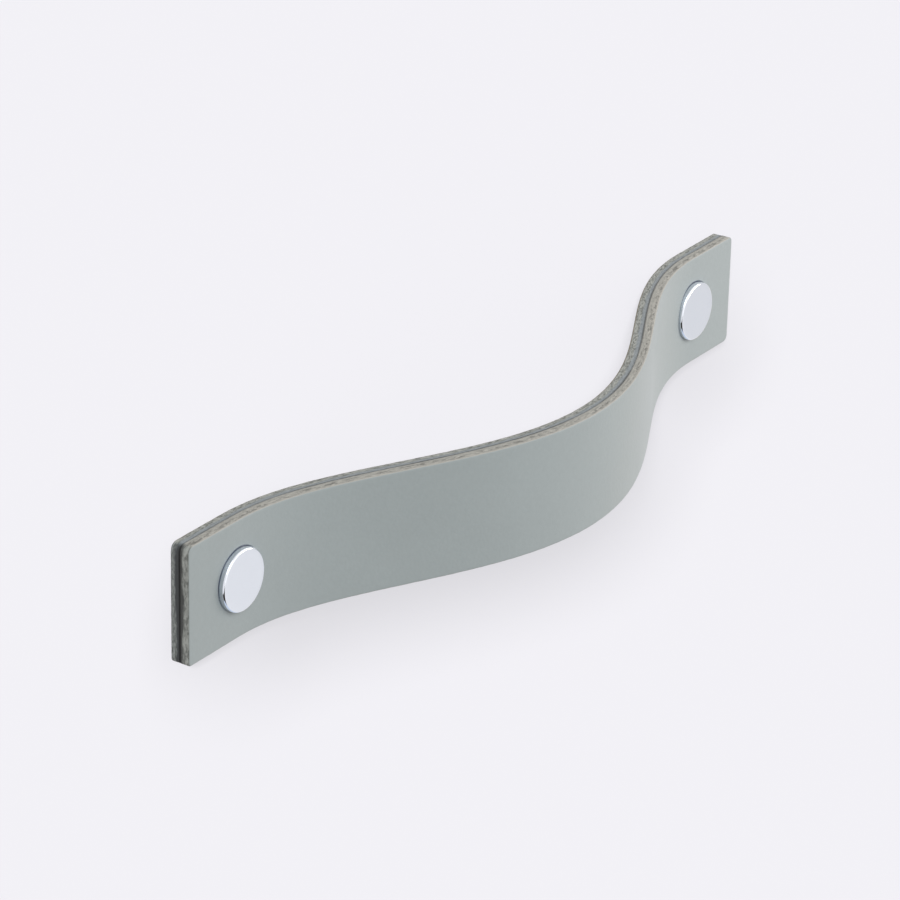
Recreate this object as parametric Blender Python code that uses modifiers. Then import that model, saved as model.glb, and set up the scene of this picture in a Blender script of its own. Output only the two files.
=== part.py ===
"""Cabinet pull: a two-ply leather strap, bowed out from the door between two flat polished caps.

Metres, +Z up. X runs along the strap and +Y into the door, whose face is the plane y = 0.
The origin is on that face, midway between the two fixing points.
"""
import math

import bmesh
import bpy
from mathutils import Matrix

# The strap: two plies of one outline, glued back to back, which lie flat on the door at each end
HOLE_SPACING = 0.160
END_REACH = 0.01525
STRAP_WIDTH = 0.024
INNER_PLY = 0.00195
OUTER_PLY = 0.00195
CORNER_RADIUS = 0.0014
EDGE_ROUND = 0.00035

# The bow between the fixing points: how far it stands off, and how much fuller than a plain cosine
BOW_HEIGHT = 0.02664
BOW_FULLNESS = 0.027

# The caps: a flat disc turned in one piece with the threaded sleeve that passes through both plies
CAP_RADIUS = 0.0063
CAP_THICKNESS = 0.00134
CAP_EDGE_RADIUS = 0.00062
CAP_SEAT_DEPTH = 0.00045
SLEEVE_WALL = 0.0011
SLEEVE_SET_BACK = 0.0003
BORE_ROOF = 0.0006

# The screws, from behind the door
DOOR_THICKNESS = 0.018
SCREW_RADIUS = 0.002
SCREW_TIP_CHAMFER = 0.0005
SCREW_HEAD_RADIUS = 0.00475
SCREW_HEAD_HEIGHT = 0.0025
SCREW_HEAD_RIM = 0.0004
CROSS_SPAN = 0.0042
CROSS_SLOT = 0.0009
CROSS_DEPTH = 0.0017
CROSS_TAPER = 0.45

# Fits
BOND_GAP = 0.0003
SEAT_GAP = 0.0003
HOLE_CLEARANCE = 0.0003
THREAD_CLEARANCE = 0.00025
TIP_CLEARANCE = 0.0004

# How finely the round and bent shapes are cut, and how far a cutter runs past what it cuts
BOW_STATIONS = 56
ROUND_STEPS = 64
SCREW_STEPS = 40
DOME_STEPS = 6
CORNER_STEPS = 5
RIM_STEPS = 6
EDGE_STEPS = 2
SMOOTH_ANGLE = math.radians(40)
CUT_OVERRUN = 0.0005

# What follows from the sizes above
FIXING_X = HOLE_SPACING / 2
BOND_DEPTH = INNER_PLY + BOND_GAP / 2
STRAP_THICKNESS = INNER_PLY + BOND_GAP + OUTER_PLY
CAP_UNDERSIDE = STRAP_THICKNESS - CAP_SEAT_DEPTH + SEAT_GAP
CAP_FACE = CAP_UNDERSIDE + CAP_THICKNESS
BORE_RADIUS = SCREW_RADIUS + THREAD_CLEARANCE
SLEEVE_RADIUS = BORE_RADIUS + SLEEVE_WALL
BORE_END = CAP_FACE - BORE_ROOF
SCREW_REACH = BORE_END - TIP_CLEARANCE


def bow(x):
    """How far the bond line stands off its flat ends at x, and its slope there."""
    if abs(x) >= FIXING_X:
        return 0.0, 0.0
    turn = math.pi * x / FIXING_X
    full = BOW_FULLNESS * BOW_HEIGHT
    height = BOW_HEIGHT / 2 * (1 + math.cos(turn)) + full / 2 * (1 - math.cos(2 * turn))
    slope = math.pi / FIXING_X * (full * math.sin(2 * turn) - BOW_HEIGHT / 2 * math.sin(turn))
    return height, slope


def bend(point):
    """Carry a point of the flat blank on to the bow; its y is the distance behind the bond line."""
    height, slope = bow(point.x)
    length = math.hypot(1, slope)
    x = point.x + point.y * slope / length
    y = -BOND_DEPTH - height + point.y / length
    return x, y, point.z


def new_material(name, colour, roughness, metallic):
    material = bpy.data.materials.new(name)
    material.use_nodes = True
    shader = material.node_tree.nodes["Principled BSDF"]
    shader.inputs["Base Color"].default_value = (*colour, 1)
    shader.inputs["Roughness"].default_value = roughness
    shader.inputs["Metallic"].default_value = metallic
    material.diffuse_color = (*colour, 1)
    return material


def new_collection(name):
    collection = bpy.data.collections.new(name)
    bpy.context.scene.collection.children.link(collection)
    return collection


def new_object(name, mesh, collection, material=None):
    item = bpy.data.objects.new(name, mesh)
    collection.objects.link(item)
    if material:
        mesh.materials.append(material)
    return item


def box_mesh(name, size, centre=(0, 0, 0)):
    mesh = bpy.data.meshes.new(name)
    shape = bmesh.new()
    bmesh.ops.create_cube(shape, size=1, matrix=Matrix.Translation(centre) @ Matrix.Diagonal((*size, 1)))
    shape.to_mesh(mesh)
    shape.free()
    return mesh


def ply(name, near, far, parts, material):
    """One ply: a blank with rounded corners from y = near to y = far, cut across and bent to the bow."""
    half_length = FIXING_X + END_REACH
    size = (2 * half_length, far - near, STRAP_WIDTH)
    mesh = box_mesh(name, size, (0, (near + far) / 2, 0))
    shape = bmesh.new()
    shape.from_mesh(mesh)
    corners = [edge for edge in shape.edges if abs(edge.verts[0].co.y - edge.verts[1].co.y) > size[1] / 2]
    bmesh.ops.bevel(
        shape, geom=corners, offset=CORNER_RADIUS, segments=CORNER_STEPS, profile=0.5, affect="EDGES")
    for step in range(BOW_STATIONS + 1):
        x = FIXING_X * (2 * step / BOW_STATIONS - 1)
        everything = shape.verts[:] + shape.edges[:] + shape.faces[:]
        bmesh.ops.bisect_plane(shape, geom=everything, plane_co=(x, 0, 0), plane_no=(1, 0, 0))
    for vertex in shape.verts:
        vertex.co = bend(vertex.co)
    bmesh.ops.recalc_face_normals(shape, faces=shape.faces[:])
    shape.to_mesh(mesh)
    shape.free()
    mesh.shade_smooth()
    mesh.set_sharp_from_angle(angle=SMOOTH_ANGLE)
    item = new_object(name, mesh, parts, material)
    rounding = item.modifiers.new("Rounded cut edges", "BEVEL")
    rounding.width = EDGE_ROUND
    rounding.segments = EDGE_STEPS
    rounding.limit_method = "ANGLE"
    rounding.angle_limit = SMOOTH_ANGLE
    return item


def turned(name, profile, steps, collection, material=None):
    """A turned piece: the profile runs from its top down its outer side, as (radius, height)."""
    mesh = bpy.data.meshes.new(name)
    mesh.from_pydata([(radius, 0, height) for radius, height in profile],
                     [(index, index + 1) for index in range(len(profile) - 1)], [])
    item = new_object(name, mesh, collection, material)
    turn = item.modifiers.new("Turned", "SCREW")
    turn.axis = "Z"
    turn.steps = steps
    turn.render_steps = steps
    turn.use_merge_vertices = True
    turn.merge_threshold = 0.00001
    turn.use_smooth_shade = True
    return item


def quarter_round(centre_radius, centre_height, across, down, steps):
    """Points of a quarter ellipse, from its top to its outermost point."""
    points = []
    for step in range(steps + 1):
        angle = math.pi / 2 * step / steps
        points.append((centre_radius + across * math.sin(angle), centre_height + down * math.cos(angle)))
    return points


def cutter_cylinder(name, radius, x, front, back, cutters):
    """A cylinder along Y from y = front to y = back, used to cut another piece."""
    mesh = bpy.data.meshes.new(name)
    shape = bmesh.new()
    place = Matrix.Translation((x, (front + back) / 2, 0)) @ Matrix.Rotation(math.pi / 2, 4, "X")
    bmesh.ops.create_cone(
        shape, cap_ends=True, segments=ROUND_STEPS, radius1=radius, radius2=radius,
        depth=back - front, matrix=place)
    shape.to_mesh(mesh)
    shape.free()
    return hide_cutter(new_object(name, mesh, cutters))


def hide_cutter(item):
    item.hide_render = True
    item.display_type = "WIRE"
    return item


def cut(item, cutter):
    boolean = item.modifiers.new("Cut by " + cutter.name, "BOOLEAN")
    boolean.operation = "DIFFERENCE"
    boolean.solver = "EXACT"
    boolean.object = cutter


def make_strap(parts, cutters):
    """The two plies, punched for the sleeves, with the front one pressed in under each cap."""
    leather = new_material("grey_leather", (0.37, 0.40, 0.40), 0.62, 0.0)
    lining = new_material("lining_leather", (0.33, 0.35, 0.35), 0.66, 0.0)
    inner = ply("inner_strap", BOND_GAP / 2, BOND_GAP / 2 + INNER_PLY, parts, lining)
    outer = ply("outer_strap", -BOND_GAP / 2 - OUTER_PLY, -BOND_GAP / 2, parts, leather)
    front = -CAP_FACE - CAP_RADIUS
    seat_floor = CAP_SEAT_DEPTH - STRAP_THICKNESS
    for side, x in (("left", -FIXING_X), ("right", FIXING_X)):
        punch_radius = SLEEVE_RADIUS + HOLE_CLEARANCE
        punch = cutter_cylinder(side + "_punch", punch_radius, x, front, CUT_OVERRUN, cutters)
        cut(inner, punch)
        cut(outer, punch)
        seat = cutter_cylinder(side + "_cap_seat", CAP_RADIUS + SEAT_GAP, x, front, seat_floor, cutters)
        cut(outer, seat)


def make_cap(name, x, parts, chrome):
    """A flat disc with a rounded rim, and the bored sleeve behind it; turned with its face up."""
    sleeve_foot = SLEEVE_SET_BACK - CAP_UNDERSIDE
    bore_end = BORE_END - CAP_UNDERSIDE
    rim_centre = (CAP_RADIUS - CAP_EDGE_RADIUS, CAP_THICKNESS - CAP_EDGE_RADIUS)
    profile = [(0, CAP_THICKNESS)]
    profile += quarter_round(*rim_centre, CAP_EDGE_RADIUS, CAP_EDGE_RADIUS, RIM_STEPS)
    profile += [(CAP_RADIUS, 0), (SLEEVE_RADIUS, 0), (SLEEVE_RADIUS, sleeve_foot)]
    profile += [(BORE_RADIUS, sleeve_foot), (BORE_RADIUS, bore_end), (0, bore_end)]
    cap = turned(name, profile, ROUND_STEPS, parts, chrome)
    cap.location = (x, -CAP_UNDERSIDE, 0)
    cap.rotation_euler = (math.pi / 2, 0, 0)


def cross_slot(name, quarter_turn, place, cutters):
    """One pair of arms of the screw's cross recess, narrowing towards its bottom."""
    size = (CROSS_SPAN, CROSS_SLOT, CROSS_DEPTH + CUT_OVERRUN)
    mesh = box_mesh(name, size, (0, 0, (CUT_OVERRUN - CROSS_DEPTH) / 2))
    for vertex in mesh.vertices:
        if vertex.co.z < 0:
            vertex.co.x *= CROSS_TAPER
    on_head = Matrix.Translation((0, 0, SCREW_HEAD_HEIGHT)) @ Matrix.Rotation(quarter_turn, 4, "Z")
    mesh.transform(place @ on_head)
    return hide_cutter(new_object(name, mesh, cutters))


def make_screw(name, x, parts, cutters, steel):
    """A machine screw from behind the door: low domed head with a cross recess, chamfered tip."""
    length = DOOR_THICKNESS + SCREW_REACH
    dome = SCREW_HEAD_HEIGHT - SCREW_HEAD_RIM
    profile = quarter_round(0, SCREW_HEAD_RIM, SCREW_HEAD_RADIUS, dome, DOME_STEPS)
    profile += [(SCREW_HEAD_RADIUS, 0), (SCREW_RADIUS, 0), (SCREW_RADIUS, SCREW_TIP_CHAMFER - length)]
    profile += [(SCREW_RADIUS - SCREW_TIP_CHAMFER, -length), (0, -length)]
    screw = turned(name, profile, SCREW_STEPS, parts, steel)
    place = Matrix.Translation((x, DOOR_THICKNESS, 0)) @ Matrix.Rotation(-math.pi / 2, 4, "X")
    screw.matrix_world = place
    for label, quarter_turn in (("a", 0), ("b", math.pi / 2)):
        cut(screw, cross_slot(name + "_cross_" + label, quarter_turn, place, cutters))


def main():
    for item in list(bpy.data.objects):
        bpy.data.objects.remove(item, do_unlink=True)
    parts = new_collection("cabinet_pull")
    cutters = new_collection("cutters")
    make_strap(parts, cutters)
    chrome = new_material("polished_chrome", (0.80, 0.82, 0.85), 0.12, 1.0)
    steel = new_material("zinc_plated_steel", (0.58, 0.60, 0.62), 0.35, 1.0)
    for side, x in (("left", -FIXING_X), ("right", FIXING_X)):
        make_cap(side + "_cap", x, parts, chrome)
        make_screw(side + "_screw", x, parts, cutters, steel)


main()
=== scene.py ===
import math

import bmesh
import bpy
from mathutils import Matrix, Vector


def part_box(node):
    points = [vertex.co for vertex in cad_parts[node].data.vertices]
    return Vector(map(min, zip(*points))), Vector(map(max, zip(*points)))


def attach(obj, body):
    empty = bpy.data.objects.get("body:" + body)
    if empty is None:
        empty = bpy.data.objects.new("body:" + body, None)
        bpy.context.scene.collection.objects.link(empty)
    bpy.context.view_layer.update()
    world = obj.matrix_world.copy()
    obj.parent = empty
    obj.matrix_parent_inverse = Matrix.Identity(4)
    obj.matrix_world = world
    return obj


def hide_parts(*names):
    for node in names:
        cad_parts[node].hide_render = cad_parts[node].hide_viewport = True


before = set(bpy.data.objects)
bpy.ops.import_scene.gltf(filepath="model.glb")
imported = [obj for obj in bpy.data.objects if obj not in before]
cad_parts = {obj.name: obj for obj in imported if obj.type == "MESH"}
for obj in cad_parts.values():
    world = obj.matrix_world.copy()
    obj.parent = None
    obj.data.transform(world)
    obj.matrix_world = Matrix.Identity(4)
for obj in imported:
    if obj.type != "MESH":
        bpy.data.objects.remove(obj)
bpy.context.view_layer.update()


# The two plies of the strap
# Each is a strip of smooth grey cowhide about 2 mm thick, cut from one pattern and glued to the other
# along a bowed former, so that the pair keeps its bow between two flat ends.
inner_low, inner_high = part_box("inner_strap")
outer_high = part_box("outer_strap")[1]
left_cap_low, left_cap_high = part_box("left_cap")
right_cap_low, right_cap_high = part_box("right_cap")
glue_gap = 0.0003
glue_line = 0.00004
bow_fullness = 0.027
mesh_step = 0.0004
mesh_layers = 6
half_length = inner_high.x
half_width = inner_high.z
fixing_x = (right_cap_low.x + right_cap_high.x - left_cap_low.x - left_cap_high.x) / 4
ply_solid = -outer_high.y - glue_gap
bow_height = -inner_low.y - ply_solid
bond_depth = ply_solid + glue_gap / 2
ply_thickness = bond_depth


def feed(tree, socket, value):
    """Link another node's output to a socket, or write a plain value on it."""
    if isinstance(value, bpy.types.NodeSocket):
        tree.links.new(value, socket)
    else:
        socket.default_value = value


def sums(tree, operation, *values, clamp=False):
    """One sum of plain numbers or other nodes' outputs."""
    node = tree.nodes.new("ShaderNodeMath")
    node.operation = operation
    node.use_clamp = clamp
    for socket, value in zip(node.inputs, values):
        feed(tree, socket, value)
    return node.outputs[0]


def split(tree, vector):
    """The x, y and z of a vector."""
    node = tree.nodes.new("ShaderNodeSeparateXYZ")
    tree.links.new(vector, node.inputs[0])
    return node.outputs[0], node.outputs[1], node.outputs[2]


def join(tree, x, y, z):
    """A vector from its x, y and z."""
    node = tree.nodes.new("ShaderNodeCombineXYZ")
    for socket, value in zip(node.inputs, (x, y, z)):
        feed(tree, socket, value)
    return node.outputs[0]


def hypotenuse(tree, a, b):
    """The square root of two squares' sum."""
    return sums(tree, "SQRT", sums(tree, "ADD", sums(tree, "POWER", a, 2.0), sums(tree, "POWER", b, 2.0)))


def ramp(tree, value, low, high, to_low=0.0, to_high=1.0):
    """A smooth step from to_low, where the value is low, to to_high, where it is high."""
    node = tree.nodes.new("ShaderNodeMapRange")
    node.interpolation_type = "SMOOTHSTEP"
    for socket, number in zip(node.inputs, (value, low, high, to_low, to_high)):
        feed(tree, socket, number)
    return node.outputs[0]


def blend(tree, factor, a, b):
    """The number a where the factor is 0 and b where it is 1."""
    node = tree.nodes.new("ShaderNodeMix")
    for socket, value in ((node.inputs["Factor"], factor), (node.inputs[2], a), (node.inputs[3], b)):
        feed(tree, socket, value)
    return node.outputs[0]


def noise(tree, vector, scale, detail=3.0, roughness=0.5, seed=0.0):
    """Cloudy noise from 0 to 1 in fixed 3-D space; the seed moves it to another place."""
    shift = tree.nodes.new("ShaderNodeVectorMath")
    shift.operation = "ADD"
    tree.links.new(vector, shift.inputs[0])
    shift.inputs[1].default_value = (seed, 0.37 * seed, 0.71 * seed)
    node = tree.nodes.new("ShaderNodeTexNoise")
    tree.links.new(shift.outputs[0], node.inputs["Vector"])
    feed(tree, node.inputs["Scale"], scale)
    node.inputs["Detail"].default_value = detail
    node.inputs["Roughness"].default_value = roughness
    return node.outputs[0]


def stretch(tree, vector, factors):
    """A vector or colour with each of its three values multiplied by its own factor."""
    node = tree.nodes.new("ShaderNodeVectorMath")
    node.operation = "MULTIPLY"
    tree.links.new(vector, node.inputs[0])
    feed(tree, node.inputs[1], factors)
    return node.outputs[0]


def new_geometry_tree(name, inputs):
    """An empty tree with a Geometry in and out and the named inputs; returns it and the inputs' sockets."""
    tree = bpy.data.node_groups.new(name, "GeometryNodeTree")
    tree.interface.new_socket("Geometry", in_out="INPUT", socket_type="NodeSocketGeometry")
    tree.interface.new_socket("Geometry", in_out="OUTPUT", socket_type="NodeSocketGeometry")
    for label, kind in inputs:
        tree.interface.new_socket(label, in_out="INPUT", socket_type="NodeSocket" + kind)
    entry = tree.nodes.new("NodeGroupInput")
    return tree, {socket.name: socket for socket in entry.outputs if socket.name}


def close_geometry_tree(tree, geometry, material):
    """Realize Instances, Set Material and the way out."""
    realize = tree.nodes.new("GeometryNodeRealizeInstances")
    tree.links.new(geometry, realize.inputs[0])
    paint = tree.nodes.new("GeometryNodeSetMaterial")
    tree.links.new(realize.outputs[0], paint.inputs["Geometry"])
    tree.links.new(material, paint.inputs["Material"])
    tree.links.new(paint.outputs[0], tree.nodes.new("NodeGroupOutput").inputs[0])


def add_tree(item, label, tree, values):
    """Put a tree on an object, with its inputs set by their sockets' identifiers."""
    modifier = item.modifiers.new(label, "NODES")
    modifier.node_group = tree
    for socket in tree.interface.items_tree:
        if socket.in_out == "INPUT" and socket.name in values:
            modifier[socket.identifier] = values[socket.name]


def store(tree, geometry, name, kind, domain, value):
    """Keep a value on the mesh under a name."""
    node = tree.nodes.new("GeometryNodeStoreNamedAttribute")
    node.data_type = kind
    node.domain = domain
    tree.links.new(geometry, node.inputs["Geometry"])
    node.inputs["Name"].default_value = name
    tree.links.new(value, node.inputs["Value"])
    return node.outputs[0]


def position(tree):
    """Where each point of the mesh is at this stage."""
    return tree.nodes.new("GeometryNodeInputPosition").outputs[0]


def move_points(tree, geometry, to_place=None, offset=None):
    """Move the points to a new place, or by an offset."""
    node = tree.nodes.new("GeometryNodeSetPosition")
    tree.links.new(geometry, node.inputs["Geometry"])
    if to_place:
        tree.links.new(to_place, node.inputs["Position"])
    if offset:
        tree.links.new(offset, node.inputs["Offset"])
    return node.outputs[0]


def cut_blank_tree():
    """The flat blank: a finely divided slab with rounded corners; y is measured from the glue line."""
    tree, given = new_geometry_tree("cut_blank", (
        ("Half Length", "Float"), ("Half Width", "Float"), ("Near", "Float"), ("Far", "Float"),
        ("Left Top", "Float"), ("Left Foot", "Float"), ("Right Top", "Float"), ("Right Foot", "Float"),
        ("Mesh Step", "Float"), ("Layers", "Int"), ("Finish", "Material")))
    thickness = sums(tree, "SUBTRACT", given["Far"], given["Near"])
    length = sums(tree, "MULTIPLY", given["Half Length"], 2.0)
    width = sums(tree, "MULTIPLY", given["Half Width"], 2.0)
    slab = tree.nodes.new("GeometryNodeMeshCube")
    tree.links.new(join(tree, length, thickness, width), slab.inputs["Size"])
    tree.links.new(sums(tree, "DIVIDE", length, given["Mesh Step"]), slab.inputs["Vertices X"])
    tree.links.new(sums(tree, "ADD", given["Layers"], 1.0), slab.inputs["Vertices Y"])
    wide_step = sums(tree, "MULTIPLY", given["Mesh Step"], 1.5)
    tree.links.new(sums(tree, "DIVIDE", width, wide_step), slab.inputs["Vertices Z"])
    x, y, z = split(tree, position(tree))
    at_right = sums(tree, "GREATER_THAN", x, 0.0)
    at_top = sums(tree, "GREATER_THAN", z, 0.0)
    left = blend(tree, at_top, given["Left Foot"], given["Left Top"])
    right = blend(tree, at_top, given["Right Foot"], given["Right Top"])
    radius = blend(tree, at_right, left, right)

    def past_corner(value, half):
        inside = sums(tree, "SUBTRACT", half, radius)
        reach = sums(tree, "SUBTRACT", sums(tree, "ABSOLUTE", value), inside)
        return sums(tree, "DIVIDE", sums(tree, "MAXIMUM", reach, 0.0), radius)

    along = past_corner(x, given["Half Length"])
    across = past_corner(z, given["Half Width"])
    square_share = sums(tree, "DIVIDE", sums(tree, "MAXIMUM", along, across), hypotenuse(tree, along, across))
    pull = sums(tree, "SUBTRACT", 1.0, square_share)
    pull = sums(tree, "MULTIPLY", pull, radius)
    shift_x = sums(tree, "MULTIPLY", sums(tree, "MULTIPLY", along, pull), sums(tree, "SIGN", x))
    shift_z = sums(tree, "MULTIPLY", sums(tree, "MULTIPLY", across, pull), sums(tree, "SIGN", z))
    middle = sums(tree, "MULTIPLY", sums(tree, "ADD", given["Near"], given["Far"]), 0.5)
    round_x = sums(tree, "SUBTRACT", x, shift_x)
    round_z = sums(tree, "SUBTRACT", z, shift_z)
    place = join(tree, round_x, sums(tree, "ADD", y, middle), round_z)
    blank = move_points(tree, slab.outputs["Mesh"], to_place=place)

    corner = tree.nodes.new("GeometryNodeInputMeshEdgeAngle").outputs["Unsigned Angle"]
    depth = sums(tree, "ABSOLUTE", split(tree, position(tree))[1])
    outside = sums(tree, "GREATER_THAN", depth, sums(tree, "ABSOLUTE", middle))
    glue_side_softness = 0.25
    softness = ramp(tree, outside, 0.0, 1.0, glue_side_softness, 1.0)
    is_cut_edge = sums(tree, "GREATER_THAN", corner, math.radians(60))
    weight = sums(tree, "MULTIPLY", is_cut_edge, softness)
    blank = store(tree, blank, "bevel_weight_edge", "FLOAT", "EDGE", weight)
    close_geometry_tree(tree, blank, given["Finish"])
    return tree


def bow_tree():
    """Roughens the blank's cut edges, presses it in round each cap, lets the glue line wander a little and
    bends it all to the bow."""
    tree, given = new_geometry_tree("bend_to_bow", (
        ("Half Length", "Float"), ("Half Width", "Float"), ("Ply", "Float"),
        ("Fixing X", "Float"), ("Bow Height", "Float"), ("Fullness", "Float"), ("Bond Depth", "Float"),
        ("Cap Radius", "Float"), ("Press Depth", "Float"), ("Press Width", "Float"),
        ("Edge Roughness", "Float"), ("Face Wave", "Float"), ("Bond Wander", "Float"),
        ("Wander Middle", "Float"), ("Wander Reach", "Float"), ("Finish", "Material")))
    blank = tree.nodes[0].outputs["Geometry"]
    blank = store(tree, blank, "flat", "FLOAT_VECTOR", "POINT", position(tree))

    attribute = tree.nodes.new("GeometryNodeInputNamedAttribute")
    attribute.data_type = "FLOAT_VECTOR"
    attribute.inputs[0].default_value = "flat"
    flat = attribute.outputs[0]
    x, _, z = split(tree, flat)
    from_end = sums(tree, "SUBTRACT", given["Half Length"], sums(tree, "ABSOLUTE", x))
    from_side = sums(tree, "SUBTRACT", given["Half Width"], sums(tree, "ABSOLUTE", z))
    from_edge = sums(tree, "MINIMUM", from_end, from_side)
    on_edge = ramp(tree, from_edge, 0.0006, 0.0)
    fibres = noise(tree, stretch(tree, flat, (1.0, 2.6, 1.6)), 900.0, detail=3.0, roughness=0.6, seed=3.0)
    fibres = sums(tree, "MULTIPLY", sums(tree, "SUBTRACT", fibres, 0.55), given["Edge Roughness"])
    fibres = sums(tree, "MULTIPLY", fibres, on_edge)
    waves = noise(tree, flat, 90.0, detail=2.0, roughness=0.5, seed=9.0)
    waves = sums(tree, "MULTIPLY", sums(tree, "SUBTRACT", waves, 0.5), given["Face Wave"])
    lift = sums(tree, "ADD", fibres, waves)
    along_normal = tree.nodes.new("ShaderNodeVectorMath")
    along_normal.operation = "SCALE"
    tree.links.new(tree.nodes.new("GeometryNodeInputNormal").outputs[0], along_normal.inputs[0])
    tree.links.new(lift, along_normal.inputs["Scale"])
    roughened = move_points(tree, blank, offset=along_normal.outputs[0])

    px, py, pz = split(tree, position(tree))
    from_cap_x = sums(tree, "SUBTRACT", sums(tree, "ABSOLUTE", px), given["Fixing X"])
    from_cap = hypotenuse(tree, from_cap_x, pz)
    past_rim = sums(tree, "MAXIMUM", sums(tree, "SUBTRACT", from_cap, given["Cap Radius"]), 0.0)
    pressed = ramp(tree, past_rim, given["Press Width"], 0.0)
    pressed = sums(tree, "MULTIPLY", sums(tree, "POWER", pressed, 2.0), given["Press Depth"])
    front_share = sums(tree, "DIVIDE", sums(tree, "MULTIPLY", py, -1.0), given["Ply"], clamp=True)
    py = sums(tree, "ADD", py, sums(tree, "MULTIPLY", pressed, front_share))

    along = sums(tree, "DIVIDE", sums(tree, "SUBTRACT", px, given["Wander Middle"]), given["Wander Reach"])
    fade = sums(tree, "MULTIPLY", sums(tree, "SUBTRACT", 1.0, sums(tree, "POWER", along, 2.0)), 0.5)
    swing = sums(tree, "MULTIPLY", along, sums(tree, "EXPONENT", fade))
    wander = sums(tree, "MULTIPLY", swing, given["Bond Wander"])
    outer_share = sums(tree, "DIVIDE", sums(tree, "ABSOLUTE", py), given["Ply"])
    inner_share = sums(tree, "SUBTRACT", 1.0, outer_share, clamp=True)
    py = sums(tree, "SUBTRACT", py, sums(tree, "MULTIPLY", wander, inner_share))

    turn = sums(tree, "MULTIPLY", sums(tree, "DIVIDE", px, given["Fixing X"]), math.pi)
    inside = sums(tree, "LESS_THAN", sums(tree, "ABSOLUTE", px), given["Fixing X"])
    half_bow = sums(tree, "MULTIPLY", given["Bow Height"], 0.5)
    full = sums(tree, "MULTIPLY", half_bow, given["Fullness"])
    rise = sums(tree, "MULTIPLY", half_bow, sums(tree, "ADD", sums(tree, "COSINE", turn), 1.0))
    twice = sums(tree, "MULTIPLY", turn, 2.0)
    swell = sums(tree, "MULTIPLY", full, sums(tree, "SUBTRACT", 1.0, sums(tree, "COSINE", twice)))
    height = sums(tree, "MULTIPLY", sums(tree, "ADD", rise, swell), inside)
    fall = sums(tree, "MULTIPLY", half_bow, sums(tree, "SINE", turn))
    gain = sums(tree, "MULTIPLY", sums(tree, "MULTIPLY", full, 2.0), sums(tree, "SINE", twice))
    slope = sums(tree, "MULTIPLY", sums(tree, "SUBTRACT", gain, fall), math.pi)
    slope = sums(tree, "MULTIPLY", sums(tree, "DIVIDE", slope, given["Fixing X"]), inside)
    length = sums(tree, "SQRT", sums(tree, "ADD", sums(tree, "POWER", slope, 2.0), 1.0))
    bent_x = sums(tree, "ADD", px, sums(tree, "DIVIDE", sums(tree, "MULTIPLY", py, slope), length))
    bond_height = sums(tree, "ADD", height, given["Bond Depth"])
    bent_y = sums(tree, "SUBTRACT", sums(tree, "DIVIDE", py, length), bond_height)
    bent = move_points(tree, roughened, to_place=join(tree, bent_x, bent_y, pz))
    close_geometry_tree(tree, bent, given["Finish"])
    return tree


def new_shader_group(name, inputs, outputs):
    """A shader node group; inputs are (name, kind, default), and each output is a name and a kind."""
    tree = bpy.data.node_groups.new(name, "ShaderNodeTree")
    for label, kind, default in inputs:
        socket = tree.interface.new_socket(label, in_out="INPUT", socket_type="NodeSocket" + kind)
        if default is not None:
            socket.default_value = default
    for label, kind in outputs:
        tree.interface.new_socket(label, in_out="OUTPUT", socket_type="NodeSocket" + kind)
    entry = tree.nodes.new("NodeGroupInput")
    leave = tree.nodes.new("NodeGroupOutput")
    return tree, {socket.name: socket for socket in entry.outputs if socket.name}, leave


def mix(tree, factor, a, b):
    """The colour a where the factor is 0 and b where it is 1."""
    node = tree.nodes.new("ShaderNodeMix")
    node.data_type = "RGBA"
    feed(tree, node.inputs["Factor"], factor)
    for socket, value in ((node.inputs[6], a), (node.inputs[7], b)):
        feed(tree, socket, value if isinstance(value, bpy.types.NodeSocket) else (*value, 1.0))
    return node.outputs[2]


def shade(tree, colour, amount):
    """A colour made lighter or darker by a factor that may vary."""
    node = tree.nodes.new("ShaderNodeVectorMath")
    node.operation = "SCALE"
    feed(tree, node.inputs[0], colour)
    feed(tree, node.inputs["Scale"], amount)
    return node.outputs[0]


def finished_face_group():
    """The dyed and lightly pigmented face of the hide: soft clouding, fine grain and pores."""
    tree, given, leave = new_shader_group(
        "finished_face",
        (("Flat", "Vector", None), ("Colour", "Color", (0.3, 0.3, 0.3, 1.0)), ("Clouding", "Float", 0.08)),
        (("Colour", "Color"), ("Roughness", "Float"), ("Height", "Float")))
    flat = given["Flat"]
    clouds = noise(tree, flat, 70.0, detail=4.0, roughness=0.55, seed=1.0)
    drift = sums(tree, "MULTIPLY", sums(tree, "SUBTRACT", clouds, 0.5), given["Clouding"])
    mottle = sums(tree, "SUBTRACT", noise(tree, flat, 900.0, detail=3.0, roughness=0.6, seed=2.0), 0.5)
    tone = sums(tree, "ADD", sums(tree, "ADD", 1.0, drift), sums(tree, "MULTIPLY", mottle, 0.10))
    cells = tree.nodes.new("ShaderNodeTexVoronoi")
    cells.feature = "SMOOTH_F1"
    tree.links.new(stretch(tree, flat, (1.0, 1.0, 1.15)), cells.inputs["Vector"])
    cells.inputs["Scale"].default_value = 1500.0
    cells.inputs["Smoothness"].default_value = 0.7
    cells.inputs["Randomness"].default_value = 1.0
    grain = ramp(tree, cells.outputs["Distance"], 0.15, 0.8, 1.0, 0.0)
    fine = noise(tree, flat, 2600.0, detail=2.0, roughness=0.5, seed=5.0)
    height = sums(tree, "ADD", sums(tree, "MULTIPLY", grain, 0.7), sums(tree, "MULTIPLY", fine, 0.3))
    tree.links.new(shade(tree, given["Colour"], tone), leave.inputs["Colour"])
    rough = sums(tree, "ADD", 0.5, sums(tree, "MULTIPLY", sums(tree, "SUBTRACT", clouds, 0.5), 0.25))
    tree.links.new(rough, leave.inputs["Roughness"])
    tree.links.new(height, leave.inputs["Height"])
    return tree


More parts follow.
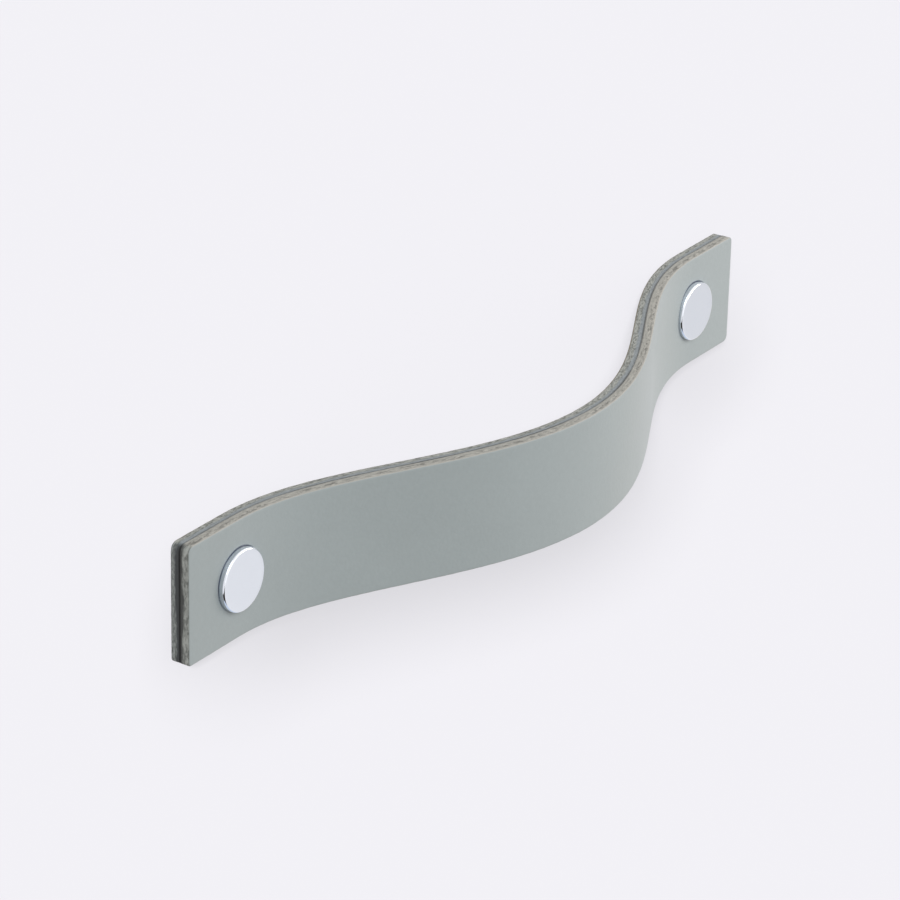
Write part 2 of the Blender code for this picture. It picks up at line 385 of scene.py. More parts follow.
def cut_edge_group():
    """The raw cut edge: dense leather by the glue line, fibre with dark flecks further out and a fine line
    under the face. The short end faces are a little darker, with glue soaked in."""
    tree, given, leave = new_shader_group(
        "cut_edge",
        (("Flat", "Vector", None), ("Ply", "Float", 0.002), ("Half Length", "Float", 0.1),
         ("Core", "Color", (0.3, 0.3, 0.3, 1.0)), ("Fibre", "Color", (0.3, 0.3, 0.3, 1.0)),
         ("Fleck", "Color", (0.1, 0.1, 0.1, 1.0)), ("Flecks Past", "Float", 0.8),
         ("Fleck Scale", "Float", 2000.0), ("Under Face", "Color", (0.4, 0.35, 0.3, 1.0)),
         ("End Tone", "Color", (1.0, 1.0, 1.0, 1.0)), ("Glue", "Color", (0.05, 0.05, 0.05, 1.0)),
         ("Soaked Depth", "Float", 0.0005)),
        (("Colour", "Color"), ("Roughness", "Float"), ("Height", "Float")))
    flat = given["Flat"]
    x, y, _ = split(tree, flat)
    depth = sums(tree, "ABSOLUTE", y)
    share = sums(tree, "DIVIDE", depth, given["Ply"])
    from_end = sums(tree, "SUBTRACT", given["Half Length"], sums(tree, "ABSOLUTE", x))
    at_end = ramp(tree, from_end, 0.0016, 0.0003)
    drawn = stretch(tree, flat, (0.5, 1.5, 0.5))
    wander = sums(tree, "SUBTRACT", noise(tree, drawn, 500.0, detail=3.0, roughness=0.6, seed=4.0), 0.5)
    wander = sums(tree, "MULTIPLY", wander, blend(tree, at_end, 0.5, 0.85))
    band = sums(tree, "ADD", share, wander)
    fibrous = ramp(tree, band, 0.3, 0.5)
    streaks = noise(tree, drawn, 1500.0, detail=4.0, roughness=0.65, seed=6.0)
    flecks = noise(tree, drawn, given["Fleck Scale"], detail=3.0, roughness=0.55, seed=8.0)
    last_fleck = sums(tree, "ADD", given["Flecks Past"], sums(tree, "MULTIPLY", at_end, 0.15))
    speckled = sums(tree, "MULTIPLY", ramp(tree, band, 0.2, 0.5, 0.1, 1.0),
                    ramp(tree, band, last_fleck, sums(tree, "SUBTRACT", last_fleck, 0.15)))
    fleck_mask = sums(tree, "MULTIPLY", ramp(tree, flecks, 0.5, 0.6), speckled)
    core = shade(tree, given["Core"], ramp(tree, streaks, 0.2, 0.8, 0.75, 1.2))
    fibre = shade(tree, given["Fibre"], ramp(tree, streaks, 0.25, 0.75, 0.62, 1.3))
    colour = mix(tree, fibrous, core, fibre)
    colour = mix(tree, sums(tree, "MULTIPLY", fleck_mask, 0.58), colour, given["Fleck"])
    under = ramp(tree, sums(tree, "ADD", share, sums(tree, "MULTIPLY", wander, 0.12)), 0.84, 0.9)
    under = sums(tree, "MULTIPLY", under, blend(tree, at_end, 0.85, 0.4))
    colour = mix(tree, under, colour, mix(tree, at_end, given["Under Face"], given["Fleck"]))
    colour = mix(tree, at_end, colour, stretch(tree, colour, given["End Tone"]))
    soaked = sums(tree, "ADD", depth, sums(tree, "MULTIPLY", wander, 0.0021))
    soaked = ramp(tree, soaked, given["Soaked Depth"], sums(tree, "MULTIPLY", given["Soaked Depth"], 0.42))
    soaked = sums(tree, "MULTIPLY", soaked, blend(tree, at_end, 0.08, 0.9))
    colour = mix(tree, soaked, colour, given["Glue"])
    glue = sums(tree, "MULTIPLY", ramp(tree, depth, 0.00034, 0.00012), blend(tree, at_end, 0.42, 0.97))
    thick_or_thin = noise(tree, flat, 45.0, detail=2.0, roughness=0.5, seed=11.0)
    thick_or_thin = ramp(tree, thick_or_thin, 0.38, 0.62, 0.62, 1.35)
    glue = sums(tree, "MULTIPLY", glue, blend(tree, at_end, thick_or_thin, 1.0))
    colour = mix(tree, glue, colour, shade(tree, given["Glue"], blend(tree, at_end, 0.5, 0.3)))
    tree.links.new(colour, leave.inputs["Colour"])
    tree.links.new(ramp(tree, streaks, 0.2, 0.8, 0.75, 0.95), leave.inputs["Roughness"])
    pits = sums(tree, "MULTIPLY", fleck_mask, 0.5)
    height = sums(tree, "SUBTRACT", sums(tree, "MULTIPLY", streaks, 0.7), pits)
    tree.links.new(height, leave.inputs["Height"])
    return tree


def new_material(name, roughness, metallic):
    """A material with its node tree and its main shader."""
    material = bpy.data.materials.new(name)
    material.use_nodes = True
    shader = material.node_tree.nodes["Principled BSDF"]
    shader.inputs["Roughness"].default_value = roughness
    shader.inputs["Metallic"].default_value = metallic
    return material, material.node_tree, shader


def use_group(tree, group, values):
    """A node group with its inputs linked or set."""
    node = tree.nodes.new("ShaderNodeGroup")
    node.node_tree = group
    for label, value in values.items():
        if isinstance(value, tuple):
            value = (*value, 1.0)
        feed(tree, node.inputs[label], value)
    return node


def leather(name, face_colour, edge_colours):
    """A ply's leather: the finished face, and the cut edge wherever the flat blank was cut."""
    material, tree, shader = new_material(name, 0.5, 0.0)
    attribute = tree.nodes.new("ShaderNodeAttribute")
    attribute.attribute_name = "flat"
    flat = attribute.outputs["Vector"]
    face = use_group(tree, finished_face, {"Flat": flat, "Colour": face_colour})
    edge = use_group(tree, cut_edge, {
        "Flat": flat, "Ply": ply_thickness, "Half Length": half_length, **edge_colours})
    x, y, z = split(tree, flat)
    depth = sums(tree, "ABSOLUTE", y)
    from_cap_x = sums(tree, "SUBTRACT", sums(tree, "ABSOLUTE", x), fixing_x)
    from_cap = hypotenuse(tree, from_cap_x, z)
    under_cap = ramp(tree, from_cap, cap_radius + 0.0007, cap_radius + 0.0004)
    on_face = ramp(tree, depth, ply_thickness - 0.0001, ply_thickness - 0.00002)
    on_face = sums(tree, "MAXIMUM", on_face, under_cap)
    colour = mix(tree, on_face, edge.outputs["Colour"], face.outputs["Colour"])
    # Painted shade: a thin dark blue-grey ring on the front face just outside each cap, where the cap meets
    # the leather. It is stronger above the middle than below, as if lit from above, and it is not a real
    # crease.
    rim_shade_strength = ramp(tree, z, -0.005, 0.002, 0.35, 0.95)
    in_front = sums(tree, "LESS_THAN", y, -ply_thickness / 2)
    painted_rim_shade = ramp(tree, from_cap, cap_radius + 0.00038, cap_radius + 0.0001, 0.0, rim_shade_strength)
    painted_rim_shade = sums(tree, "MULTIPLY", painted_rim_shade, in_front)
    painted_rim_shade_colour = (0.03, 0.045, 0.075)
    colour = mix(tree, painted_rim_shade, colour, painted_rim_shade_colour)
    tree.links.new(colour, shader.inputs["Base Color"])
    roughness = blend(tree, on_face, edge.outputs["Roughness"], face.outputs["Roughness"])
    tree.links.new(roughness, shader.inputs["Roughness"])
    normal = None
    for source, strength, distance in (
            (edge.outputs["Height"], sums(tree, "SUBTRACT", 1.0, on_face), 0.00012),
            (face.outputs["Height"], sums(tree, "MULTIPLY", on_face, 0.55), 0.00003)):
        bump = tree.nodes.new("ShaderNodeBump")
        bump.inputs["Distance"].default_value = distance
        feed(tree, bump.inputs["Strength"], strength)
        tree.links.new(source, bump.inputs["Height"])
        if normal:
            tree.links.new(normal, bump.inputs["Normal"])
        normal = bump.outputs[0]
    tree.links.new(normal, shader.inputs["Normal"])
    shader.inputs["Specular IOR Level"].default_value = 0.45
    shader.inputs["Sheen Weight"].default_value = 0.12
    shader.inputs["Sheen Roughness"].default_value = 0.4
    return material


finished_face = finished_face_group()
cut_edge = cut_edge_group()
cap_radius = (right_cap_high.x - right_cap_low.x) / 2
front_leather = leather("smooth_grey_leather", (0.335, 0.368, 0.368), {
    "Core": (0.455, 0.44, 0.40), "Fibre": (0.442, 0.424, 0.383), "Fleck": (0.10, 0.098, 0.085),
    "Flecks Past": 0.84, "Fleck Scale": 1250.0, "Under Face": (0.46, 0.44, 0.40),
    "End Tone": (0.84, 0.90, 0.94), "Glue": (0.035, 0.035, 0.034), "Soaked Depth": 0.0012})
back_leather = leather("grey_lining_leather", (0.30, 0.33, 0.335), {
    "Core": (0.325, 0.35, 0.365), "Fibre": (0.385, 0.39, 0.36), "Fleck": (0.085, 0.09, 0.08),
    "Flecks Past": 1.05, "Fleck Scale": 1700.0, "Under Face": (0.27, 0.23, 0.17),
    "End Tone": (0.75, 0.78, 0.83), "Glue": (0.035, 0.035, 0.034), "Soaked Depth": 0.0013})

cap_front = right_cap_low.y
sleeve_radius = 0.00335
cap_thickness = 0.00134
cap_back = cap_front + cap_thickness
contact = 0.00002
punch_radius = sleeve_radius + 0.0003
cut_blank = cut_blank_tree()
bend_to_bow = bow_tree()


def turn_profile(mesh, profile, steps, place):
    """Adds a turned solid to a mesh: (radius, height) points from the top down the outer side."""
    shape = bmesh.new()
    shape.from_mesh(mesh)
    rings = []
    for radius, height in profile:
        ring = []
        for step in range(steps if radius > 0 else 1):
            turn = 2 * math.pi * step / steps
            spot = Vector((radius * math.cos(turn), radius * math.sin(turn), height))
            ring.append(shape.verts.new(place @ spot))
        rings.append(ring)
    for upper, lower in zip(rings, rings[1:]):
        for step in range(steps):
            following = (step + 1) % steps
            corners = [upper[step % len(upper)], lower[step % len(lower)]]
            corners += [lower[following % len(lower)], upper[following % len(upper)]]
            # A ring on the axis is a single point, which is a corner once.
            shape.faces.new(list(dict.fromkeys(corners)))
    shape.to_mesh(mesh)
    shape.free()


def facing_front(x, y):
    """A turned piece's place with its axis pointing out of the door at x, its zero height at y."""
    return Matrix.Translation((x, y, 0)) @ Matrix.Rotation(math.pi / 2, 4, "X")


def add_object(name, data):
    """A new object in the scene, at the origin."""
    item = bpy.data.objects.new(name, data)
    bpy.context.scene.collection.objects.link(item)
    return item


def hole_cutter(name, seat_radius):
    """The punch for both sleeve holes, stepped out to the cap's own size where it presses in."""
    mesh = bpy.data.meshes.new(name)
    past_front = 0.008
    past_back = -0.006
    profile = [(0, past_front), (seat_radius, past_front), (seat_radius, 0)]
    profile += [(punch_radius, 0), (punch_radius, past_back), (0, past_back)]
    for x in (-fixing_x, fixing_x):
        turn_profile(mesh, profile, steps=128, place=facing_front(x, cap_back + contact))
    return add_object(name, mesh)


def cut_out(item, label, cutter):
    """Take the cutter's shape out of an object."""
    cut = item.modifiers.new(label, "BOOLEAN")
    cut.operation = "DIFFERENCE"
    cut.solver = "MANIFOLD"
    cut.object = cutter


def smooth_faces(mesh, sharp_from):
    """Shade a mesh smooth, with edges left sharp from so many degrees up."""
    mesh.shade_smooth()
    mesh.set_sharp_from_angle(angle=math.radians(sharp_from))


def plain_mesh(item, name, finish):
    """The evaluated object as a new object at the origin; the old one is removed."""
    depsgraph = bpy.context.evaluated_depsgraph_get()
    mesh = bpy.data.meshes.new_from_object(
        item.evaluated_get(depsgraph), preserve_all_data_layers=True, depsgraph=depsgraph)
    mesh.name = name
    mesh.materials.clear()
    mesh.materials.append(finish)
    mesh.polygons.foreach_set("material_index", [0] * len(mesh.polygons))
    bpy.data.objects.remove(item)
    return add_object(name, mesh)


def bow(x):
    """The height and the slope of the bow's glue line at x."""
    if abs(x) >= fixing_x:
        return 0, 0
    turn = math.pi * x / fixing_x
    full = bow_height / 2 * bow_fullness
    height = bow_height / 2 * (1 + math.cos(turn)) + full * (1 - math.cos(2 * turn))
    slope = math.pi / fixing_x * (2 * full * math.sin(2 * turn) - bow_height / 2 * math.sin(turn))
    return height, slope


def flat_place(point):
    """Where a point of the bowed strap lay in the flat blank."""
    x = point.x
    for step in range(5):
        height, slope = bow(x)
        length = math.hypot(1, slope)
        depth = (point.y + bond_depth + height) * length
        x = point.x - depth * slope / length
    return Vector((x, depth, point.z))


def make_ply(name, near, far, corners, finish, cutter):
    """One ply from near to far of the glue line: cut, rounded at its edges, bent to the bow and punched."""
    ply = add_object(name + "_blank", bpy.data.meshes.new(name + "_blank"))
    add_tree(ply, "Cut blank", cut_blank, {
        "Half Length": half_length, "Half Width": half_width, "Near": near, "Far": far,
        "Mesh Step": mesh_step, "Layers": mesh_layers, "Finish": finish, **corners})
    rounding = ply.modifiers.new("Rounded cut edges", "BEVEL")
    rounding.limit_method = "WEIGHT"
    rounding.width = 0.0003
    rounding.segments = 3
    add_tree(ply, "Bend to bow", bend_to_bow, {
        "Half Length": half_length, "Half Width": half_width, "Ply": ply_thickness,
        "Fixing X": fixing_x, "Bow Height": bow_height, "Fullness": bow_fullness, "Bond Depth": bond_depth,
        "Cap Radius": cap_radius, "Press Depth": 0.00006, "Press Width": 0.0014,
        "Edge Roughness": 0.00012, "Face Wave": 0.00004, "Bond Wander": 0.0002,
        "Wander Middle": -0.002, "Wander Reach": 0.02, "Finish": finish})
    cut_out(ply, "Punched", cutter)
    finished = plain_mesh(ply, name, finish)
    bpy.data.objects.remove(cutter)
    # The points that the punch makes can carry a wrong flat place, which is put right here.
    flat = finished.data.attributes["flat"].data
    near_hole = cap_radius * 1.2
    most_astray = 0.0004
    for vertex in finished.data.vertices:
        if abs(abs(vertex.co.x) - fixing_x) < near_hole:
            place = flat_place(vertex.co)
            if (flat[vertex.index].vector - place).length > most_astray:
                flat[vertex.index].vector = place
    smooth_faces(finished.data, sharp_from=55)
    return finished


inner_ply = make_ply(
    "inner_ply", glue_line / 2, ply_thickness,
    {"Left Top": 0.0017, "Left Foot": 0.0007, "Right Top": 0.0012, "Right Foot": 0.0014},
    back_leather, hole_cutter("inner_punch", punch_radius * 1.001))
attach(inner_ply, "root")
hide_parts("inner_strap")

outer_ply = make_ply(
    "outer_ply", -ply_thickness, -glue_line / 2,
    {"Left Top": 0.0012, "Left Foot": 0.0006, "Right Top": 0.0010, "Right Foot": 0.0014},
    front_leather, hole_cutter("outer_punch", cap_radius + contact))
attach(outer_ply, "root")
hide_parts("outer_strap")


# The two caps
# Each is turned from bar in one piece: a flat disc with a softly rounded rim, and behind it the bored
# sleeve that the screw pulls tight. The face and rim are polished and chromed.
cap_edge_radius = 0.00045
cap_back_chamfer = 0.00006
bore_radius = 0.00225
bore_end = 0.00074
sleeve_foot = 0.0003
sleeve_end = cap_back + sleeve_foot
sleeve_chamfer = 0.0002


def quarter_arc(centre_radius, centre_height, across, up):
    """Profile points of a rounded edge, from its top down to its side."""
    steps = 12
    angles = [math.pi / 2 * step / steps for step in range(steps + 1)]
    return [
        (centre_radius + across * math.sin(angle), centre_height + up * math.cos(angle)) for angle in angles]


def chrome():
    """Polished chrome with a breath of haze."""
    material, tree, shader = new_material("polished_chrome", 0.07, 1.0)
    place = tree.nodes.new("ShaderNodeTexCoord").outputs["Object"]
    haze = noise(tree, place, 260.0, detail=3.0, roughness=0.6, seed=2.0)
    tree.links.new(ramp(tree, haze, 0.3, 0.75, 0.045, 0.11), shader.inputs["Roughness"])
    tree.links.new(mix(tree, haze, (0.84, 0.87, 0.93), (0.80, 0.835, 0.90)), shader.inputs["Base Color"])
    bump = tree.nodes.new("ShaderNodeBump")
    bump.inputs["Strength"].default_value = 0.25
    bump.inputs["Distance"].default_value = 0.00001
    tree.links.new(noise(tree, place, 500.0, detail=2.0, roughness=0.5, seed=7.0), bump.inputs["Height"])
    tree.links.new(bump.outputs[0], shader.inputs["Normal"])
    return material


cap_finish = chrome()
cap_profile = [(0, cap_thickness), (cap_radius * 0.4, cap_thickness), (cap_radius * 0.8, cap_thickness)]
cap_profile += quarter_arc(
    cap_radius - cap_edge_radius, cap_thickness - cap_edge_radius, across=cap_edge_radius, up=cap_edge_radius)
cap_profile += [(cap_radius, cap_back_chamfer), (cap_radius - cap_back_chamfer, 0), (sleeve_radius, 0)]
cap_profile += [(sleeve_radius, sleeve_end + sleeve_chamfer), (sleeve_radius - sleeve_chamfer, sleeve_end)]
cap_profile += [(bore_radius, sleeve_end), (bore_radius, bore_end), (0, bore_end)]
for side, x in (("left", -fixing_x), ("right", fixing_x)):
    mesh = bpy.data.meshes.new(side + "_cap_polished")
    turn_profile(mesh, cap_profile, steps=144, place=facing_front(x, cap_back))
    mesh.materials.append(cap_finish)
    smooth_faces(mesh, sharp_from=35)
    cap = add_object(side + "_cap_polished", mesh)
    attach(cap, "root")
    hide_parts(side + "_cap")


# The two fixing screws
# Each is an M4 machine screw of zinc plated steel with a low domed head and a cross recess, rolled
# thread to the head, driven from behind the door into the cap's sleeve.
screw_low, screw_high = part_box("left_screw")
screw_head_radius = (screw_high.x - screw_low.x) / 2
screw_radius = 0.002
screw_head_height = 0.0025
screw_head_rim = 0.0004
screw_head_chamfer = 0.0001
screw_tip_chamfer = 0.0005
thread_pitch = 0.0007
thread_depth = 0.00038
steps_per_turn = 8
screw_head_back = screw_high.y - screw_head_height
screw_length = screw_head_back - screw_low.y
# Each is how far an arm of the cross reaches, half its width, and its height over the head.
recess_mouth = (0.0021, 0.00045, 0.0005)
recess_floor = (0.00095, 0.00034, -0.0017)


def thread_tree():
    """Rolls a thread on a turned shank whose axis is Z and whose head starts at zero."""
    tree, given = new_geometry_tree("rolled_thread", (
        ("Radius", "Float"), ("Pitch", "Float"), ("Depth", "Float"), ("Length", "Float"),
        ("Finish", "Material")))
    shank = tree.nodes[0].outputs["Geometry"]
    x, y, z = split(tree, position(tree))
    radius = hypotenuse(tree, x, y)
    turn = sums(tree, "DIVIDE", sums(tree, "ARCTAN2", y, x), 2 * math.pi)
    phase = sums(tree, "FRACT", sums(tree, "SUBTRACT", sums(tree, "DIVIDE", z, given["Pitch"]), turn))
    flank = sums(tree, "ABSOLUTE", sums(tree, "SUBTRACT", sums(tree, "MULTIPLY", phase, 2.0), 1.0))
    groove = ramp(tree, flank, 0.15, 0.9)
    below_head = ramp(tree, z, -0.0002, -0.0011)
    above_tip = ramp(tree, sums(tree, "ADD", z, given["Length"]), 0.0, 0.0006)
    on_shank = sums(tree, "GREATER_THAN", radius, sums(tree, "MULTIPLY", given["Radius"], 0.5))
    cut = sums(tree, "MULTIPLY", sums(tree, "MULTIPLY", groove, given["Depth"]), below_head)
    cut = sums(tree, "MULTIPLY", sums(tree, "MULTIPLY", cut, above_tip), on_shank)
    scale = sums(tree, "DIVIDE", sums(tree, "SUBTRACT", radius, cut), sums(tree, "MAXIMUM", radius, 0.00001))
    place = join(tree, sums(tree, "MULTIPLY", x, scale), sums(tree, "MULTIPLY", y, scale), z)
    close_geometry_tree(tree, move_points(tree, shank, to_place=place), given["Finish"])
    return tree


def zinc():
    """Zinc plating with its cloudy bloom."""
    material, tree, shader = new_material("zinc_plated_steel", 0.32, 1.0)
    place = tree.nodes.new("ShaderNodeTexCoord").outputs["Object"]
    bloom = noise(tree, place, 900.0, detail=4.0, roughness=0.6, seed=1.0)
    tree.links.new(mix(tree, bloom, (0.50, 0.52, 0.54), (0.68, 0.69, 0.69)), shader.inputs["Base Color"])
    tree.links.new(ramp(tree, bloom, 0.25, 0.75, 0.24, 0.44), shader.inputs["Roughness"])
    return material


def cross_cutter():
    """A cross-shaped punch that narrows towards the bottom of the screw's recess."""
    shape = bmesh.new()
    rings = []
    for reach, half_slot, height in (recess_mouth, recess_floor):
        ring = []
        for quarter in range(4):
            for corner in ((reach, -half_slot), (reach, half_slot), (half_slot, half_slot)):
                spot = Vector((*corner, screw_head_height + height))
                ring.append(shape.verts.new(Matrix.Rotation(quarter * math.pi / 2, 3, "Z") @ spot))
        rings.append(ring)
        shape.faces.new(ring)
    corners = len(rings[0])
    for step in range(corners):
        following = (step + 1) % corners
        shape.faces.new((rings[0][step], rings[1][step], rings[1][following], rings[0][following]))
    bmesh.ops.recalc_face_normals(shape, faces=shape.faces)
    mesh = bpy.data.meshes.new("cross_cutter")
    shape.to_mesh(mesh)
    shape.free()
    return add_object("cross_cutter", mesh)


screw_finish = zinc()
rolled_thread = thread_tree()
shank_steps = int(screw_length / thread_pitch * steps_per_turn)
screw_profile = quarter_arc(
    0, screw_head_rim, across=screw_head_radius, up=screw_head_height - screw_head_rim)
screw_profile += [(screw_head_radius, screw_head_chamfer), (screw_head_radius - screw_head_chamfer, 0)]
screw_profile += [(screw_radius, -screw_length * step / shank_steps) for step in range(shank_steps)]
screw_profile += [(screw_radius - screw_tip_chamfer, -screw_length), (0, -screw_length)]
for side, x in (("left", -fixing_x), ("right", fixing_x)):
    mesh = bpy.data.meshes.new(side + "_screw_blank")
    turn_profile(mesh, screw_profile, steps=48, place=Matrix.Identity(4))
    screw = add_object(side + "_screw_blank", mesh)
    add_tree(screw, "Rolled thread", rolled_thread, {
        "Radius": screw_radius, "Pitch": thread_pitch, "Depth": thread_depth,
        "Length": screw_length, "Finish": screw_finish})
    cutter = cross_cutter()
    cut_out(screw, "Cross recess", cutter)
    screw = plain_mesh(screw, side + "_screw_threaded", screw_finish)
    bpy.data.objects.remove(cutter)
    from_behind = Matrix.Rotation(-math.pi / 2, 4, "X")
    screw.data.transform(Matrix.Translation((x, screw_head_back, 0)) @ from_behind)
    smooth_faces(screw.data, sharp_from=35)
    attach(screw, "root")
    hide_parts(side + "_screw")


# The door and the light
# The pull is shown on a plain pale door, clear from behind so that the pull's back shows. The door has a
# lamp of its own, with a flag in its beam that gives the pull its soft shadow. Two others light the pull.
door_colour = (0.888, 0.879, 0.922)
door_matt_share = 0.08
door_glow = 0.752
door_half_size = 2.0
door_gap = 0.0002


def background_rays(tree):
    """1 for the rays that show the background: the camera's, and those that metal or glass sends on."""
    path = tree.nodes.new("ShaderNodeLightPath")
    seen = sums(tree, "MAXIMUM", path.outputs["Is Camera Ray"], path.outputs["Is Glossy Ray"])
    return sums(tree, "MAXIMUM", seen, path.outputs["Is Transmission Ray"])


def pale_door():
    """Mostly a plain glow, with a matt share that takes the shadow; seen from the front alone."""
    material = bpy.data.materials.new("pale_door")
    material.use_nodes = True
    tree = material.node_tree
    tree.nodes.clear()
    matt = tree.nodes.new("ShaderNodeBsdfDiffuse")
    matt.inputs["Color"].default_value = (*door_colour, 1)
    glow = tree.nodes.new("ShaderNodeEmission")
    glow.inputs["Color"].default_value = (*door_colour, 1)
    glow.inputs["Strength"].default_value = door_glow
    surface = tree.nodes.new("ShaderNodeMixShader")
    surface.inputs[0].default_value = door_matt_share
    tree.links.new(glow.outputs[0], surface.inputs[1])
    tree.links.new(matt.outputs[0], surface.inputs[2])
    front = sums(tree, "SUBTRACT", 1.0, tree.nodes.new("ShaderNodeNewGeometry").outputs["Backfacing"])
    clear = tree.nodes.new("ShaderNodeBsdfTransparent")
    choose = tree.nodes.new("ShaderNodeMixShader")
    tree.links.new(sums(tree, "MULTIPLY", background_rays(tree), front), choose.inputs[0])
    tree.links.new(clear.outputs[0], choose.inputs[1])
    tree.links.new(surface.outputs[0], choose.inputs[2])
    tree.links.new(choose.outputs[0], tree.nodes.new("ShaderNodeOutputMaterial").inputs[0])
    return material


mesh = bpy.data.meshes.new("door")
shape = bmesh.new()
bmesh.ops.create_grid(shape, x_segments=1, y_segments=1, size=door_half_size)
bmesh.ops.transform(shape, matrix=facing_front(0, door_gap), verts=shape.verts)
shape.to_mesh(mesh)
shape.free()
mesh.materials.append(pale_door())
door = add_object("door", mesh)


def studio_patch(tree, direction, towards, reach, edge):
    """1 inside a round patch of the studio round the pull, 0 outside it; reach and edge in degrees."""
    across = tree.nodes.new("ShaderNodeVectorMath")
    across.operation = "DOT_PRODUCT"
    tree.links.new(direction, across.inputs[0])
    across.inputs[1].default_value = Vector(towards).normalized()
    outer = math.cos(math.radians(reach + edge))
    inner = math.cos(math.radians(reach - edge))
    return ramp(tree, across.outputs["Value"], outer, inner)


# The polished caps mirror a studio painted on the world, and a plain pale room lights the pull all round.
wall_colour = (0.90, 0.895, 0.905)
softbox_colour = (1.32, 1.32, 1.30)
warm_wall_colour = (1.25, 1.12, 1.0)
floor_colour = (0.60, 0.69, 0.84)
dark_card_colour = (0.03, 0.025, 0.02)
world = bpy.data.worlds.new("pale_room")
bpy.context.scene.world = world
world.use_nodes = True
tree = world.node_tree
tree.nodes.clear()
direction = tree.nodes.new("ShaderNodeTexCoord").outputs["Generated"]
camera_ray = tree.nodes.new("ShaderNodeLightPath").outputs["Is Camera Ray"]
front_softbox = studio_patch(tree, direction, towards=(0.12, -0.97, 0.17), reach=33, edge=3)
upper_softbox = studio_patch(tree, direction, towards=(0.50, -0.70, 0.45), reach=27, edge=3)
dull_middle = studio_patch(tree, direction, towards=(0.00, -1.00, -0.05), reach=9, edge=5)
dull_middle = sums(tree, "MULTIPLY", dull_middle, 0.85)
front_softbox = sums(tree, "SUBTRACT", front_softbox, dull_middle, clamp=True)
softboxes = sums(tree, "MAXIMUM", front_softbox, upper_softbox)
to_right, _, upwards = split(tree, direction)
slanted = sums(tree, "SUBTRACT", upwards, sums(tree, "MULTIPLY", to_right, 0.4))
dark_card = sums(tree, "MULTIPLY", ramp(tree, slanted, -0.22, -0.25), ramp(tree, upwards, -0.86, -0.80))
dark_card = sums(tree, "MULTIPLY", dark_card, ramp(tree, to_right, 0.14, 0.04))
warm_wall = studio_patch(tree, direction, towards=(0.85, 0.33, -0.41), reach=28, edge=6)
dimmer_to_right = ramp(tree, to_right, 0.66, 0.84, 1.0, 0.88)
mirrored = mix(tree, softboxes, wall_colour, softbox_colour)
mirrored = shade(tree, mirrored, dimmer_to_right)
mirrored = mix(tree, warm_wall, mirrored, warm_wall_colour)
mirrored = mix(tree, ramp(tree, upwards, -0.78, -0.86), mirrored, floor_colour)
mirrored = mix(tree, dark_card, mirrored, dark_card_colour)
backdrop = tree.nodes.new("ShaderNodeBackground")
tree.links.new(mix(tree, camera_ray, mirrored, door_colour), backdrop.inputs["Color"])
room = tree.nodes.new("ShaderNodeBackground")
room.inputs["Color"].default_value = (1.0, 0.99, 0.96, 1)
room.inputs["Strength"].default_value = 0.61
choose = tree.nodes.new("ShaderNodeMixShader")
tree.links.new(background_rays(tree), choose.inputs[0])
tree.links.new(room.outputs[0], choose.inputs[1])
tree.links.new(backdrop.outputs[0], choose.inputs[2])
tree.links.new(choose.outputs[0], tree.nodes.new("ShaderNodeOutputWorld").inputs[0])


# The flag is a card with the outline that the strap covers on the door as the camera sees it. It stands up
# the beam of the door's lamp, so that its soft shadow falls just below and beside the strap.
viewer = Vector((-0.638, -0.422, 0.344))
beam = Vector((-0.80, -0.505, 0.50)).normalized()
flag_up_beam = 0.152
shadow_shift = Vector((0.0064, 0, -0.0094))
flag_half_length = half_length - 0.0025
flag_middle = -0.0012
flag_foot = -half_width
flag_top = half_width - 0.004
flag_steps = 48
shape = bmesh.new()
rim = []
for step in range(flag_steps + 1):
    x = flag_half_length * (2 * step / flag_steps - 1) + flag_middle
    for z in (flag_foot, flag_top):
        spot = Vector((x, -bond_depth - bow(x)[0], z))
        behind = viewer + (spot - viewer) * viewer.y / (viewer.y - spot.y)
        rim.append(shape.verts.new(behind + shadow_shift + flag_up_beam * beam))
for corner in range(0, 2 * flag_steps, 2):
    shape.faces.new((rim[corner], rim[corner + 2], rim[corner + 3], rim[corner + 1]))
mesh = bpy.data.meshes.new("shadow_flag")
shape.to_mesh(mesh)
shape.free()
flag = add_object("shadow_flag", mesh)
flag.visible_camera = False
flag.visible_diffuse = False
flag.visible_glossy = False
flag.visible_transmission = False


def only(item, state):
    """A light linking collection that takes in one object, or all but that one."""
    linked = bpy.data.collections.new(item.name + "_" + state.lower())
    linked.objects.link(item)
    linked.collection_objects[0].light_linking.link_state = state
    return linked


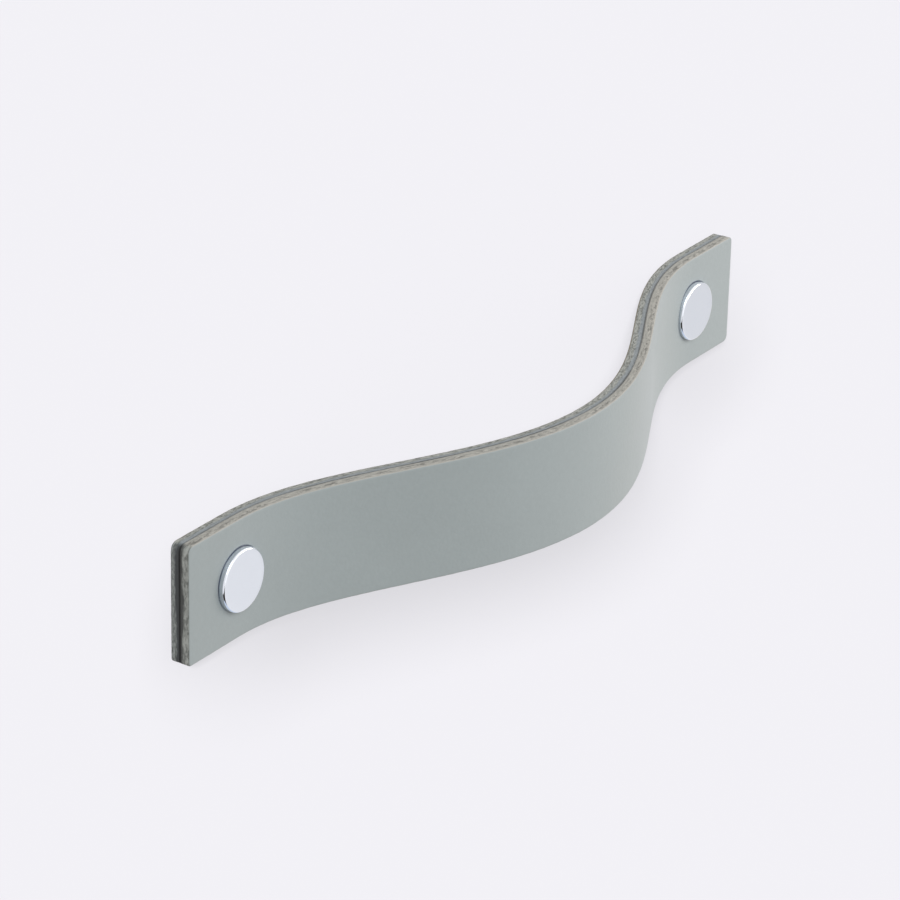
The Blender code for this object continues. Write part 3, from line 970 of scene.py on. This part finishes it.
def add_lamp(name, kind, strength, spread, place, colour=(1.0, 1.0, 1.0)):
    """A sun of so many degrees, or a disc of so many metres, that shines from place towards the pull."""
    light = bpy.data.lights.new(name, kind)
    light.energy = strength
    light.color = colour
    if kind == "SUN":
        light.angle = math.radians(spread)
    else:
        light.shape = "DISK"
        light.size = spread
    lamp = add_object(name, light)
    lamp.location = place
    lamp.rotation_mode = "QUATERNION"
    lamp.rotation_quaternion = Vector(place).to_track_quat("Z", "Y")
    return lamp


door_lamp = add_lamp("door_lamp", "SUN", strength=21.9, spread=10, place=beam)
door_lamp.light_linking.receiver_collection = only(door, "INCLUDE")
upper_lamp = add_lamp(
    "upper_lamp", "SUN", strength=0.95, spread=40, place=(-0.40, -0.80, 0.70), colour=(0.88, 0.98, 1.08))
right_lamp = add_lamp(
    "right_lamp", "AREA", strength=0.77, spread=0.30, place=(0.32, -0.30, 0.10), colour=(1.05, 1.0, 0.99))
for lamp in (upper_lamp, right_lamp):
    lamp.light_linking.receiver_collection = only(door, "EXCLUDE")
    lamp.light_linking.blocker_collection = only(flag, "EXCLUDE")


# The camera
# It stands to the left of the pull and above it, and looks along the strap to the right, through a long
# lens that keeps the strap's two sides nearly parallel.
azimuth = math.radians(-56.33)
elevation = math.radians(24.48)
roll = math.radians(1.30)
distance = 0.8124
look = Vector((-0.02316, -0.012, 0.00729))
back = Vector((
    math.sin(azimuth) * math.cos(elevation), -math.cos(azimuth) * math.cos(elevation), math.sin(elevation)))
level = Vector((math.cos(azimuth), math.sin(azimuth), 0))
upright = back.cross(level)
right = math.cos(roll) * level + math.sin(roll) * upright
up = math.cos(roll) * upright - math.sin(roll) * level
camera = add_object("camera", bpy.data.cameras.new("camera"))
camera.data.lens = 169.5
camera.data.sensor_width = 36
camera.data.clip_start = 0.05
camera.data.clip_end = 20
turned = Matrix((right, up, back)).transposed().to_4x4()
camera.matrix_world = Matrix.Translation(look + distance * back) @ turned
bpy.context.scene.camera = camera
bpy.context.scene.view_settings.view_transform = "Standard"
